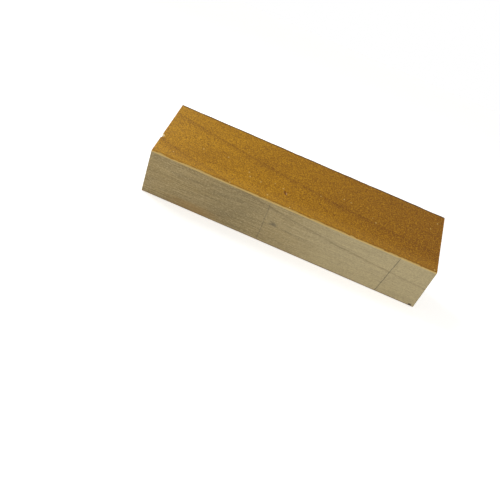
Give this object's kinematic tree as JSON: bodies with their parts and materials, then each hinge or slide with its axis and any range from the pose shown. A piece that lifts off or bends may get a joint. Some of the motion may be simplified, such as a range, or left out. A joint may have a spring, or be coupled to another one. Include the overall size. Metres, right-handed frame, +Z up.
{
  "type": "wooden stamp block",
  "caption": "Trapezoid hardwood block for a hand stamp, varnished on three long sides, bare on the narrow one, with a blind handle hole in the wide side.",
  "frame": {"origin": "on the surface it lies on, under the middle of the block's box", "axes": "+X along the block and its grain; +Y towards the wide side with the handle hole; -Y towards the bare narrow side; +Z up from the sloping side that it lies on"},
  "size_m": [0.07, 0.0212, 0.0198],
  "materials": {
    "varnished_wood": "amber varnish on the wide side and both sloping sides; bare sawn and planed wood on the narrow side and the ends"
  },
  "bodies": {
    "root": {"stamp_block": "varnished_wood"}
  },
  "joints": []
}
